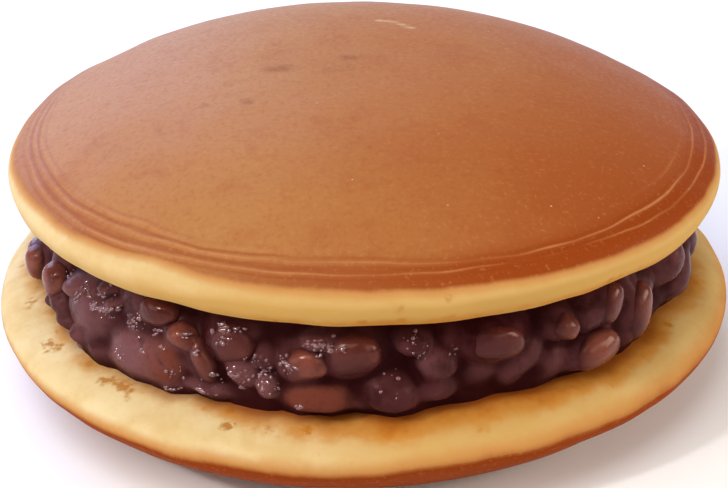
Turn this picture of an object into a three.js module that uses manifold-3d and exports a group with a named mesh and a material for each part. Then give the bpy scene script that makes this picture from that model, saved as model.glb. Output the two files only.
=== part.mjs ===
// Dorayaki: two round pancakes, browned faces outwards, with a thick layer of coarse
// sweet bean paste between them. Whole beans stand out of the paste all round its side.
// Millimetres, +Z up. The origin is the middle of the footprint, on the resting surface,
// and -Y is the front.

import * as THREE from 'three';
import { mergeVertices } from 'three/addons/utils/BufferGeometryUtils.js';
import Module from 'manifold-3d';

const wasm = await Module();
wasm.setup();

// Each pancake is measured from its rim: crustDepth to the crown of the browned face,
// flatDepth to where that face is pressed flat, paleDepth to the pale face. shoulder is
// the width over which the pale face rounds into the rim. rings and stations, where the
// section has its points, are shares of the radius. lobes make the outline a little out
// of round, peak in degrees from +X.
const UPPER = {
  radius: 44.7,
  rimHeight: 28.8,
  crustDepth: 10.3,
  crustPower: 3.1,
  flatDepth: Infinity,
  paleDepth: 4.2,
  shoulder: 3.3,
  rings: [0.945, 0.919, 0.897],
  stations: [0.932, 0.919, 0.908, 0.897, 0.885, 0.86, 0.82, 0.75, 0.65, 0.52, 0.38, 0.22],
  lobes: [
    { count: 2, swell: 0.003, peak: -26 },
    { count: 3, swell: 0.0125, peak: -21 },
  ],
};
const LOWER = {
  radius: 47.2,
  rimHeight: 7.7,
  crustDepth: 12.4,
  crustPower: 4,
  flatDepth: 7.7,
  paleDepth: 4.8,
  shoulder: 11,
  rings: [],
  stations: [0.91, 0.87, 0.83, 0.79, 0.76, 0.725],
  lobes: [
    { count: 2, swell: 0.0095, peak: 30 },
    { count: 3, swell: 0.0075, peak: -5 },
  ],
};
const UPPER_FORWARD = 0.6; // the upper pancake lies this far in front of the lower one
const UPPER_LEAN = 0.76; // and tips back, degrees
const RIM_START = 0.945; // share of the radius where the crust turns over into the rim
const RIM_DROP = 1; // from the crust's edge line to the widest circle
const RIM_FULLNESS = 0.35;
const FLAT_BLEND = 1.2; // softens the edge of the flat
const RING_HEIGHT = 0.16; // shallow rings, left as the batter dried at its edge
const RING_WIDTH = 0.007;
const PANCAKE_SIDES = 64;
const SHOULDER_STEPS = 6;
const RIM_STEPS = 4;

// Bean paste
const PASTE_RADIUS = 40.5;
const PASTE_BULGE = 0.9;
const PASTE_LEAN = 1.6; // its top is this much narrower than its foot
const PASTE_LUMP = 0.75;
const PASTE_SIDES = 84;
const SIDE_ROWS = 7;
const FACE_GAP = 0.3; // the paste stays this clear of both pancakes

// Radius of the foot of the paste at angles in degrees
const PASTE_FOOT = [
  { at: -180, radius: 42.1 },
  { at: -173, radius: 42.5 },
  { at: -160, radius: 41.0 },
  { at: -150, radius: 41.2 },
  { at: -140, radius: 42.5 },
  { at: -122, radius: 42.0 },
  { at: -114, radius: 40.9 },
  { at: -100, radius: 40.8 },
  { at: -91, radius: 39.9 },
  { at: -84, radius: 40.6 },
  { at: -76, radius: 39.6 },
  { at: -66, radius: 39.4 },
  { at: -55, radius: 39.7 },
  { at: -45, radius: 40.8 },
  { at: -33, radius: 40.7 },
  { at: -25, radius: 39.7 },
  { at: -15, radius: 41.9 },
  { at: 5, radius: 42.0 },
  { at: 30, radius: 41.2 },
  { at: 150, radius: 41.2 },
  { at: 180, radius: 42.1 },
];

// Beans and lumps at the front: angle round the paste in degrees, height above the resting
// surface, length, width, tilt of the long axis in degrees, and how far it stands out
const FRONT_BEANS = [
  { at: -167, high: 15.6, long: 4.8, wide: 3.8, tilt: 78, proud: 2.4 },
  { at: -156, high: 13.8, long: 3.6, wide: 2.8, tilt: 80, proud: 1.6 },
  { at: -153, high: 18.0, long: 5.2, wide: 4.4, tilt: 70, proud: 2.1 },
  { at: -151.5, high: 15.6, long: 3.6, wide: 4.4, tilt: 80, proud: 1.8 },
  { at: -149, high: 13.6, long: 4.0, wide: 3.2, tilt: 0, proud: 1.9 },
  { at: -145.5, high: 19.6, long: 4.8, wide: 2.4, tilt: 15, proud: 1.7 },
  { at: -144, high: 13.6, long: 3.6, wide: 3.0, tilt: 0, proud: 2.0 },
  { at: -142, high: 17.2, long: 10.2, wide: 7.6, tilt: 16, proud: 1.3 },
  { at: -137.5, high: 13.5, long: 4.0, wide: 2.8, tilt: 0, proud: 1.7 },
  { at: -128.5, high: 15.2, long: 9.4, wide: 6.8, tilt: 18, proud: 1.8 },
  { at: -125, high: 21.8, long: 5.6, wide: 3.8, tilt: 15, proud: 0.9 },
  { at: -122, high: 13.2, long: 3.2, wide: 2.2, tilt: 5, proud: 1.3 },
  { at: -122, high: 16.1, long: 5.2, wide: 4.6, tilt: 50, proud: 2.0 },
  { at: -119.5, high: 19.8, long: 4.8, wide: 3.0, tilt: -20, proud: 1.4 },
  { at: -116, high: 17.6, long: 6.0, wide: 2.9, tilt: -66, proud: 1.4 },
  { at: -115.5, high: 13.6, long: 6.8, wide: 3.4, tilt: -5, proud: 1.1 },
  { at: -110.8, high: 20.6, long: 5.2, wide: 5.0, tilt: 20, proud: 1.5 },
  { at: -109, high: 17.4, long: 4.6, wide: 5.0, tilt: 30, proud: 1.1 },
  { at: -104.8, high: 15.9, long: 2.9, wide: 3.4, tilt: 0, proud: 1.5 },
  { at: -98.7, high: 19.2, long: 5.5, wide: 4.0, tilt: 18, proud: 1.8 },
  { at: -97.3, high: 14.7, long: 7.2, wide: 4.0, tilt: -4, proud: 1.6 },
  { at: -91.4, high: 20.5, long: 6.4, wide: 5.0, tilt: 14, proud: 1.4 },
  { at: -85.5, high: 15.0, long: 6.0, wide: 4.8, tilt: -30, proud: 1.6 },
  { at: -82, high: 21.5, long: 4.2, wide: 3.0, tilt: -15, proud: 0.9 },
  { at: -78, high: 18.7, long: 5.4, wide: 4.2, tilt: -40, proud: 0.7 },
  { at: -68.3, high: 20.5, long: 7.0, wide: 4.2, tilt: -10, proud: 1.5 },
  { at: -55.6, high: 20.1, long: 4.0, wide: 2.9, tilt: -28, proud: 1.5 },
  { at: -50, high: 19.8, long: 4.6, wide: 4.0, tilt: 60, proud: 0.6 },
  { at: -48.6, high: 15.5, long: 7.0, wide: 4.2, tilt: 6, proud: 2.0 },
  { at: -45.5, high: 20.6, long: 5.2, wide: 3.8, tilt: 72, proud: 1.3 },
  { at: -38.3, high: 17.6, long: 7.2, wide: 4.4, tilt: 80, proud: 1.9 },
  { at: -25, high: 20.0, long: 5.6, wide: 5.0, tilt: 40, proud: 1.8 },
  { at: -20, high: 16.4, long: 6.4, wide: 5.2, tilt: 60, proud: 2.0 },
];
// The rest of the way round, beans follow by a rule.
const BACK_START = -14;
const BACK_END = 188;
const BACK_BEANS = 22;
const BACK_ROWS = [20.4, 15.6];
const BEAN_DEPTH = 4;
const BEAN_SIDES = 8;
const BEAN_RINGS = 6;

const crust = new THREE.MeshStandardMaterial({ color: '#b06a35', roughness: 0.5, metalness: 0 });
const paste = new THREE.MeshStandardMaterial({ color: '#43201f', roughness: 0.3, metalness: 0 });

// A repeatable draw from 0 to 1, different for each whole number and salt.
function draw(index, salt) {
  const wave = Math.sin(index * 12.9898 + salt * 78.233) * 43758.5453;
  return wave - Math.floor(wave);
}

// Radius at an angle as a share of the mean radius.
function outline(angle, lobes) {
  return lobes.reduce((sum, { count, swell, peak }) => {
    return sum + swell * Math.cos(count * (angle - THREE.MathUtils.degToRad(peak)));
  }, 1);
}

// Height of the browned face above the rim.
function crustHeight({ crustDepth, crustPower, flatDepth, rings }, share) {
  const domed = crustDepth * (1 - share ** crustPower);
  const near = Math.max(0, FLAT_BLEND - Math.abs(domed - flatDepth));
  const smooth = Math.min(domed, flatDepth) - near ** 2 / (4 * FLAT_BLEND);
  return rings.reduce((sum, ring) => {
    return sum + RING_HEIGHT * Math.exp(-(((share - ring) / RING_WIDTH) ** 2));
  }, smooth);
}

// Depth of the pale face below the rim.
function paleDrop({ radius, paleDepth, shoulder }, rho) {
  const over = Math.max(0, rho - (radius - shoulder)) / shoulder;
  return RIM_DROP + (paleDepth - RIM_DROP) * Math.sqrt(1 - over ** 2.2);
}

// Half section of a pancake with its crust upwards and its rim at height 0, from the
// middle of the pale face out over the rim to the middle of the crust.
function pancakeSection(pancake) {
  const { radius, shoulder, stations } = pancake;
  const points = [new THREE.Vector2(0, -pancake.paleDepth)];
  for (let i = 0; i < SHOULDER_STEPS; i++) {
    const rho = radius - shoulder + shoulder * Math.sin((i / SHOULDER_STEPS) * (Math.PI / 2));
    points.push(new THREE.Vector2(rho, -paleDrop(pancake, rho)));
  }
  const roll = new THREE.QuadraticBezierCurve(
    new THREE.Vector2(radius, -RIM_DROP),
    new THREE.Vector2(radius, RIM_FULLNESS),
    new THREE.Vector2(RIM_START * radius, crustHeight(pancake, RIM_START)),
  );
  points.push(...roll.getPoints(RIM_STEPS));
  for (const share of [...stations, 0]) {
    points.push(new THREE.Vector2(share * radius, crustHeight(pancake, share)));
  }
  return points;
}

// Only positions, shared vertices merged, and no triangle without area.
function closed(geometry) {
  geometry.deleteAttribute('normal');
  geometry.deleteAttribute('uv');
  const merged = mergeVertices(geometry, 1e-4);
  const kept = [];
  for (let i = 0; i < merged.index.count; i += 3) {
    const corners = [0, 1, 2].map((k) => merged.index.getX(i + k));
    if (new Set(corners).size === 3) kept.push(...corners);
  }
  merged.setIndex(kept);
  return merged;
}

// A section turned about Z.
function turned(section, sides) {
  return closed(new THREE.LatheGeometry(section, sides).rotateX(Math.PI / 2));
}

// Moves every vertex in or out from the axis by the share that change gives for its
// angle, height and radius.
function swell(geometry, change) {
  const position = geometry.getAttribute('position');
  const point = new THREE.Vector3();
  for (let i = 0; i < position.count; i++) {
    point.fromBufferAttribute(position, i);
    const share = change(Math.atan2(point.y, point.x), point.z, Math.hypot(point.x, point.y));
    position.setXYZ(i, point.x * share, point.y * share, point.z);
  }
  return geometry;
}

function upperPancake() {
  const body = turned(pancakeSection(UPPER), PANCAKE_SIDES);
  return swell(body, (angle) => outline(angle, UPPER.lobes))
    .rotateX(THREE.MathUtils.degToRad(-UPPER_LEAN))
    .translate(0, -UPPER_FORWARD, UPPER.rimHeight);
}

function lowerPancake() {
  const body = turned(pancakeSection(LOWER), PANCAKE_SIDES).rotateX(Math.PI);
  return swell(body, (angle) => outline(angle, LOWER.lobes)).translate(0, 0, LOWER.rimHeight);
}

// How far the side of the paste stands out at an angle and height.
function lump(angle, height) {
  const broad = 0.45 * Math.sin(9 * angle + 1.3 * height);
  const middling = 0.4 * Math.sin(17 * angle - 0.9 * height + 2);
  const fine = 0.35 * Math.sin(29 * angle + 0.7 * height + 4);
  return PASTE_LUMP * (broad + middling + fine);
}

// Radius of the foot of the paste at an angle.
function footRadius(angle) {
  const at = THREE.MathUtils.radToDeg(angle);
  const next = Math.max(1, PASTE_FOOT.findIndex((place) => place.at >= at));
  const from = PASTE_FOOT[next - 1];
  const to = PASTE_FOOT[next];
  return THREE.MathUtils.mapLinear(at, from.at, to.at, from.radius, to.radius);
}

// A cake of paste, a little taller than the space between the pale faces.
function pasteCore() {
  const low = LOWER.rimHeight + LOWER.paleDepth - 1;
  const high = UPPER.rimHeight - UPPER.paleDepth + 1;
  const section = [new THREE.Vector2(0, low)];
  for (let i = 0; i <= SIDE_ROWS; i++) {
    const share = i / SIDE_ROWS;
    const rho = PASTE_RADIUS + PASTE_BULGE * Math.sin(Math.PI * share) - PASTE_LEAN * share;
    section.push(new THREE.Vector2(rho, low + (high - low) * share));
  }
  section.push(new THREE.Vector2(0, high));
  return swell(turned(section, PASTE_SIDES), (angle, height, rho) => {
    const out = footRadius(angle) - PASTE_RADIUS + lump(angle, height);
    return rho < PASTE_RADIUS / 2 ? 1 : 1 + out / rho;
  });
}

// Beans behind, spaced evenly and moved a little from their places.
function backBeans() {
  const step = (BACK_END - BACK_START) / (BACK_BEANS - 1);
  return Array.from({ length: BACK_BEANS }, (_, i) => ({
    at: BACK_START + step * (i + 0.6 * (draw(i, 1) - 0.5)),
    high: BACK_ROWS[i % BACK_ROWS.length] + 1.6 * (draw(i, 2) - 0.5),
    long: 5.4 + 2 * draw(i, 3),
    wide: 3.8 + 1.2 * draw(i, 4),
    tilt: 160 * (draw(i, 5) - 0.5),
    proud: 1.2 + 0.8 * draw(i, 6),
  }));
}

// One bean, lying against the side of the paste.
function bean({ at, high, long, wide, tilt, proud }) {
  const angle = THREE.MathUtils.degToRad(at);
  const lean = THREE.MathUtils.degToRad(tilt);
  const out = new THREE.Vector3(Math.cos(angle), Math.sin(angle), 0);
  const along = new THREE.Vector3(-Math.sin(angle), Math.cos(angle), 0);
  along.multiplyScalar(Math.cos(lean)).setZ(Math.sin(lean));
  const across = new THREE.Vector3().crossVectors(out, along);
  const centre = out.clone().multiplyScalar(PASTE_RADIUS + PASTE_BULGE + proud - BEAN_DEPTH / 2);
  const place = new THREE.Matrix4()
    .makeBasis(along, across, out)
    .scale(new THREE.Vector3(long / 2, wide / 2, BEAN_DEPTH / 2))
    .setPosition(centre.setZ(high));
  return closed(new THREE.SphereGeometry(1, BEAN_SIDES, BEAN_RINGS).applyMatrix4(place));
}

function solid(geometry) {
  const mesh = new wasm.Mesh({
    numProp: 3,
    vertProperties: new Float32Array(geometry.getAttribute('position').array),
    triVerts: new Uint32Array(geometry.index.array),
  });
  return new wasm.Manifold(mesh);
}

function geometryOf(manifold) {
  const { vertProperties, triVerts } = manifold.getMesh();
  const geometry = new THREE.BufferGeometry();
  geometry.setAttribute('position', new THREE.BufferAttribute(vertProperties, 3));
  geometry.setIndex(new THREE.BufferAttribute(triVerts, 1));
  return geometry;
}

// Core and beans in one, trimmed clear of both pancakes.
function beanPaste(upper, lower) {
  const whole = [...FRONT_BEANS, ...backBeans()].reduce(
    (joined, one) => joined.add(solid(bean(one))),
    solid(pasteCore()),
  );
  const trimmed = whole
    .subtract(solid(upper).translate([0, 0, -FACE_GAP]))
    .subtract(solid(lower).translate([0, 0, FACE_GAP]));
  return geometryOf(trimmed);
}

function piece(name, geometry, material) {
  geometry.computeVertexNormals();
  const mesh = new THREE.Mesh(geometry, material);
  mesh.name = name;
  return mesh;
}

const upper = upperPancake();
const lower = lowerPancake();
const dorayaki = new THREE.Group();
dorayaki.add(piece('upper_pancake', upper, crust));
dorayaki.add(piece('bean_paste', beanPaste(upper, lower), paste));
dorayaki.add(piece('lower_pancake', lower, crust));

// The origin goes to the middle of the footprint.
const box = new THREE.Box3().setFromObject(dorayaki, true);
const middle = box.getCenter(new THREE.Vector3());
dorayaki.position.set(-middle.x, -middle.y, -box.min.z);

export default dorayaki;
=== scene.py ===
"""Looks of the dorayaki: two browned pancakes with coarse sweet bean paste between them.

Forms are worked out in millimetres, with the same named sizes as the solids, and become
metres when a mesh is made. -Y is the front, +Z is up, angles are in degrees from +X.
"""

import math
from collections import namedtuple

import bpy
import numpy as np
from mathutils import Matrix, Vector, noise


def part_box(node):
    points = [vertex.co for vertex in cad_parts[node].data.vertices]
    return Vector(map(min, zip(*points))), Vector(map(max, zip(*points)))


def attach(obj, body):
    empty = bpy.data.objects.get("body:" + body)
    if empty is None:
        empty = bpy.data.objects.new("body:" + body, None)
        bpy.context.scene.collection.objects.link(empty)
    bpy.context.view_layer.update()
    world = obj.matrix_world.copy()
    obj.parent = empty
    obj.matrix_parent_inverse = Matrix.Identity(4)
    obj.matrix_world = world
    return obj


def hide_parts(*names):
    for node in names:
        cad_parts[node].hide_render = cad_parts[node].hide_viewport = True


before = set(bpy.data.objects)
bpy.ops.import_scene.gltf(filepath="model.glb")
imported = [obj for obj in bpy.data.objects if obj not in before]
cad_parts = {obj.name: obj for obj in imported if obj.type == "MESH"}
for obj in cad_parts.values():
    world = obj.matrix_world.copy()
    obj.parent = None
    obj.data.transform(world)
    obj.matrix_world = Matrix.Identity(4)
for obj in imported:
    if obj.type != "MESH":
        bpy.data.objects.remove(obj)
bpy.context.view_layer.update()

MM = 0.001
FULL_TURN = 2 * math.pi

# Pancakes, measured from the rim as in the solids
UPPER = {
    "radius": 44.7,
    "rim_height": 28.8,
    "crust_depth": 10.3,
    "crust_power": 3.1,
    "flat_depth": math.inf,
    "pale_depth": 4.2,
    "shoulder": 3.3,
    "lobes": ((2, 0.003, -26), (3, 0.0125, -21)),
    "seed": 1.0,
}
LOWER = {
    "radius": 47.2,
    "rim_height": 7.7,
    "crust_depth": 12.4,
    "crust_power": 4.0,
    "flat_depth": 7.7,
    "pale_depth": 4.8,
    "shoulder": 11.0,
    "lobes": ((2, 0.0095, 30), (3, 0.0075, -5)),
    "seed": 5.0,
}
# How far the upper pancake sits towards the front, and how far it leans that way
UPPER_FORWARD = 0.6
UPPER_LEAN = math.radians(0.76)
# The roll of a rim: share of the radius where it starts, how far its widest circle lies
# towards the pale side, how full it is, and the power that rounds the pale shoulder
RIM_START = 0.945
RIM_DROP = 1.0
RIM_FULLNESS = 0.35
SHOULDER_POWER = 2.2
# Over what height the crust runs into its flat, and over what height above it waves begin
FLAT_BLEND = 1.2
FLAT_KEPT = (0.02, 2.5)

# Soft unevenness: height, size and growth towards the rim of the waves, of the ripples over
# them, and of those on the pale side alone
RIM_WAVE, RIM_WAVE_SIZE, RIM_WAVE_POWER = 0.35, 14.0, 4
FACE_RIPPLE, RIM_RIPPLE, RIPPLE_SIZE, RIPPLE_POWER = 0.08, 0.16, 6.0, 8
PALE_RIPPLE_ALONG = (0.25, 0.5, -1.5)
PALE_RIPPLE_SIZE, PALE_RIPPLE_SEED = 5.0, 3.0

# Fineness: sides here and in the solids, rows on each stretch of the section, and the share
# of the radius where the close rows of the ridges end
SIDES, SOLID_SIDES = 512, 64
FACE_ROWS, SHOULDER_ROWS, ROLL_ROWS, RIDGE_ROWS, CROWN_ROWS = 7, 31, 25, 36, 56
CLOSE_ROWS_END = 0.86

# Thin light ridges that the batter left near the edge of the upper crust: angle and share
# of the radius along each, and angle and strength
RIDGES = (
    (
        (
            (-175, 0.943), (-163, 0.941), (-151, 0.947), (-134, 0.951), (-115, 0.944), (-90, 0.938),
            (-73, 0.94), (-55, 0.944), (-39, 0.953), (-25, 0.95), (-4, 0.957), (90, 0.948),
        ),
        ((-180, 0.8), (-100, 0.9), (-60, 0.6), (-35, 0.9), (-5, 1), (14, 0.15), (165, 0.15)),
    ),
    (
        (
            (-175, 0.921), (-160, 0.919), (-143, 0.922), (-131, 0.917), (-116, 0.919), (-99, 0.909),
            (-90, 0.907), (-81, 0.914), (-73, 0.925), (-55, 0.93), (-40, 0.923), (-14, 0.919), (90, 0.92),
        ),
        ((-180, 0.8), (-125, 0.7), (-95, 0.75), (-60, 0.9), (-25, 1), (-4, 0.9), (14, 0.1), (165, 0.1)),
    ),
    (
        (
            (-175, 0.9), (-157, 0.897), (-142, 0.898), (-129, 0.89), (-116, 0.902), (-100, 0.88),
            (90, 0.89),
        ),
        (
            (-180, 0.6), (-125, 0.6), (-105, 0.3), (-85, 0.1), (-50, 0.1), (-25, 0.5), (0, 0.4),
            (14, 0.1), (165, 0.1),
        ),
    ),
)
RIDGE_HEIGHT = 0.13
RIDGE_HALF = 0.0042
# Where ridges begin, as length from the widest circle
RIDGES_ALONG = (0.2, 1.2)
# Wobbles of a ridge: share of the radius, waves all round, and turn from ridge to ridge
RIDGE_WOBBLES = ((0.0010, 23, 2.9), (0.0007, 41, 4.1))
# Breaks in a ridge: strength, and waves all round, turn from ridge to ridge and start
RIDGE_BREAKS = 0.25
RIDGE_BREAK_WAVES = ((9, 1.3, 0), (4, 2.2, 1))
# The trough on each side: place and half width in half widths of the ridge, depth and tone
TROUGH_PLACE, TROUGH_HALF, TROUGH_DEPTH, TROUGH_TONE = 2.6, 1.3, 0.2, 0.6

# Where the browning of each crust stops, as length from the widest circle, and over what
# length it fades
UPPER_EDGE = (
    (-166, 1.6), (-157, 1.7), (-149, 2.1), (-141, 2.1), (-129, 2.5), (-122, 2.8), (-117, 2.5),
    (-110, 1.8), (-95, 2), (-75, 1.7), (-50, 1.2), (-15, 1.4), (90, 1.9),
)
UPPER_FADE = ((-180, 0.5), (-120, 0.5), (-90, 0.6), (-70, 0.5), (-45, 0.45), (-15, 0.45), (90, 0.8))
LOWER_EDGE = ((-160, 0.4), (-90, -0.1), (-50, -0.5), (-20, -0.9), (90, -0.2))
LOWER_FADE = ((-160, 0.6), (-90, 0.9), (-20, 1.1), (90, 0.9))
# How dark the band near the edge of the upper crust is
BAND = (
    (-180, 0.2), (-150, 0.3), (-125, 0.2), (-112, 0.35), (-95, 0.65), (-83, 0.75), (-70, 0.9),
    (-40, 0.95), (-10, 1), (90, 0.4),
)
# How far out the pale face beside the paste is toasted, and how strongly
TOAST_REACH = (
    (-180, 4), (-150, 4.5), (-125, 3), (-110, 4.5), (-90, 6.5), (-60, 5.5), (-40, 4.5), (0, 4.5),
    (90, 5),
)
TOASTING = (
    (-180, 0.3), (-150, 0.35), (-125, 0.3), (-112, 0.5), (-95, 0.7), (-60, 0.85), (-25, 0.65), (0, 0.3),
    (90, 0.6),
)
# Share of that reach where the toasting starts to fade
TOAST_FULL = 0.25
# How dark the pale face becomes right beside the paste
DARKENING_BY_PASTE = (
    (-180, 0.3), (-135, 0.25), (-122, 0.5), (-112, 0.8), (-60, 0.85), (-30, 0.65), (0, 0.4), (90, 0.5),
)

# Other colours: strength, where it starts and where it is full, by x, y, length from the
# widest circle, share of the radius or distance from the paste
UPPER_BAND_BY_SHARE = (1.0, 0.875, 0.95)
LOWER_BAND_BY_SHARE = (1.0, 0.74, 0.92)
# Partly painted shade: the crusts are ruddier and darker towards the right, the upper one also towards
# the front right
UPPER_RUDDY_SHADE_BY_X = (0.8, 0, 42)
FRONT_RUDDY_SHADE_BY_X = (1.0, -14, 6)
FRONT_RUDDY_SHADE_BY_Y = (0.32, -10, -30)
LOWER_RUDDY_SHADE_BY_X = (0.5, -40, -4)
# Painted light: the upper crust is lighter and more golden towards the left
UPPER_LIT_BY_X = (0.7, 12, -16)
UPPER_TOAST_BY_LENGTH = (0.4, -0.4, -2.4)
UPPER_TOAST_BY_X = (1.0, -30, 0)
UPPER_GOLDEN = 0.25
UPPER_GOLDEN_BY_LENGTH = (0.45, 0.8, -1.6)
# Partly painted shade: the upper pale side is more golden towards the right
UPPER_GOLDEN_SHADE_BY_X = (0.6, -40, -4)
LOWER_GOLDEN = 0.22
# Partly painted shade: the lower pale face is more golden towards the right
LOWER_GOLDEN_SHADE_BY_X = (0.63, -14, 8)
# Painted light: the pale face of the lower pancake is paler at its far right
LOWER_LIT_BY_X = (0.14, 18, 40)
DARK_BY_PASTE_DISTANCE = (1.0, 2.0, 0.2)

# Dark marks on the upper crust: x, y, length, width, strength
MARKS = (
    (-19.1, -11.7, 1.2, 2, 0.55), (-13.7, -11.6, 1.8, 2, 0.7), (-14.1, -9, 3, 1.6, 0.35),
    (-9.9, -2.3, 3, 2.4, 0.6), (-11.8, -2.1, 5, 3, 0.25), (-4.1, -3.6, 4, 3, 0.4),
    (-1.2, 1.1, 4.6, 1.8, 0.6), (-2.5, -1.5, 15, 5, 0.22), (-12, 6.3, 2.4, 2.4, 0.2),
    (-17.3, -7, 2.4, 2.4, 0.2), (-15.3, -13.2, 2.4, 2.4, 0.2), (-3.6, -18.8, 1, 1.4, 0.4),
    (9.8, -20.9, 1.6, 1.2, 0.4),
)
# A pale curved scratch on the far side of the crown: points on it, steps along it, half width
# and strength
SCAR = ((2.0, 15.6), (4.4, 14.8), (6.6, 12.4))
SCAR_STEPS = 30
SCAR_HALF = 0.30
SCAR_STRENGTH = 0.5
# Tan spots on the pale sides: x, y, z, radius, strength
SPOTS = (
    (9.3, -43.4, 29.2, 0.6, 0.7), (4, -44.5, 28.4, 1, 0.3), (-9.2, -43, 25.9, 0.7, 0.7),
    (37.7, -19.3, 12, 0.8, 0.7), (-41.6, -12.7, 11.7, 1.1, 0.4), (-42, -13.9, 11.5, 1, 0.35),
    (-37.9, -22.8, 11.6, 0.8, 0.6), (-39.1, -22.8, 11.2, 0.7, 0.5), (-36.8, -24.2, 11.7, 0.8, 0.8),
    (-38.4, -24.4, 11.2, 0.7, 0.5), (-30.5, -32, 11.7, 0.9, 0.7), (-29.4, -31.9, 11.9, 0.7, 0.6),
    (-28.4, -33.2, 11.8, 0.9, 0.7), (-27.3, -34, 11.8, 0.8, 0.8), (-27.4, -35.5, 11.4, 0.7, 0.5),
    (-15.6, -41.5, 11.5, 0.6, 0.9), (-14.8, -41.4, 11.6, 0.5, 0.8), (-10.5, -42.4, 11.7, 0.6, 0.9),
    (-6.5, -42.4, 11.8, 0.6, 0.8), (-6, -42.9, 11.6, 0.6, 0.6),
)

# Bean paste: radius, how far its side bulges, leans in at the top and is hollowed between the
# lumps, how far it runs into the faces, its least radius, where it ends inside, and fineness
PASTE_RADIUS = 40.5
PASTE_BULGE = 0.9
PASTE_LEAN = 1.6
PASTE_HOLLOW_BY_LEVEL = (1.0, 0.1, 0.4)
PASTE_TUCK = 0.3
PASTE_LEAST = PASTE_RADIUS - 2
PASTE_INSIDE = PASTE_RADIUS - 4
PASTE_COLUMNS = 1100
PASTE_ROWS = 76
# Unevenness of the side under its lumps and the ripple over them: height, size and seed
PASTE_WAVES = ((0.55, 4.5, 7.0), (0.15, 2.3, 8.0))
PASTE_RIPPLE = (0.07, 1.5, 3.0)
# Wet patches: size, seed, and the span of the waves over which they become wet
WET_SIZE, WET_SEED, WET_SPAN = 5.0, 9.0, (-0.1, 0.5)
# The foot holds its line less and less up to a level, but for lumps that stand out a little,
# and the side starts from it softened over some columns
FOOT_LEVEL = 0.18
FOOT_PROUD = 0.2
FOOT_SOFTENED = 12
# Painted shade on the paste: dark in hollows against the mean of rows and columns to each side,
# far behind the beans, and near the top and the foot
MEAN_ROWS, MEAN_COLUMNS = 14, 9
HOLLOW_SHADE = (1.0, -0.1, 0.7)
RECESS_SHADE = (0.9, 0.1, 1.3)
TOP_SHADE = (0.8, 0.72, 1.0)
FOOT_SHADE = (0.9, 0.2, 0.0)
# A lump: share of its radius where it turns from round to straight, height and slope there,
# share where it ends, and how softly it runs into the rest
LUMP_TURN, LUMP_TURN_HEIGHT, LUMP_SLOPE, LUMP_END = 0.866, 0.5, 1.732, 1.7
LUMP_SOFT = 1.0

# Radius of the foot of the paste by angle
FOOT = (
    (-173, 42.6), (-169, 41.6), (-162, 41), (-156, 40.8), (-147, 41.4), (-142, 42.4), (-137, 42.6),
    (-134, 41.8), (-129, 42.1), (-126, 41.7), (-122, 42.1), (-120, 41.5), (-118, 40.6), (-114, 41),
    (-112, 40.6), (-108, 41.2), (-105, 41.2), (-103, 40.5), (-100, 41), (-97, 40.5), (-95, 40.6),
    (-91, 39.7), (-88, 40.1), (-85, 40.8), (-82, 40.5), (-79, 39.8), (-75, 39.5), (-71, 39.9),
    (-67, 39.2), (-60, 39.9), (-55, 39.6), (-51, 40), (-46, 41), (-42, 40.5), (-40, 40.8),
    (-36, 40.4), (-32, 40.8), (-25, 39.6), (-20, 40.8), (-15, 41.9), (5, 42), (30, 41.2), (150, 41.2),
)
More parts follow.
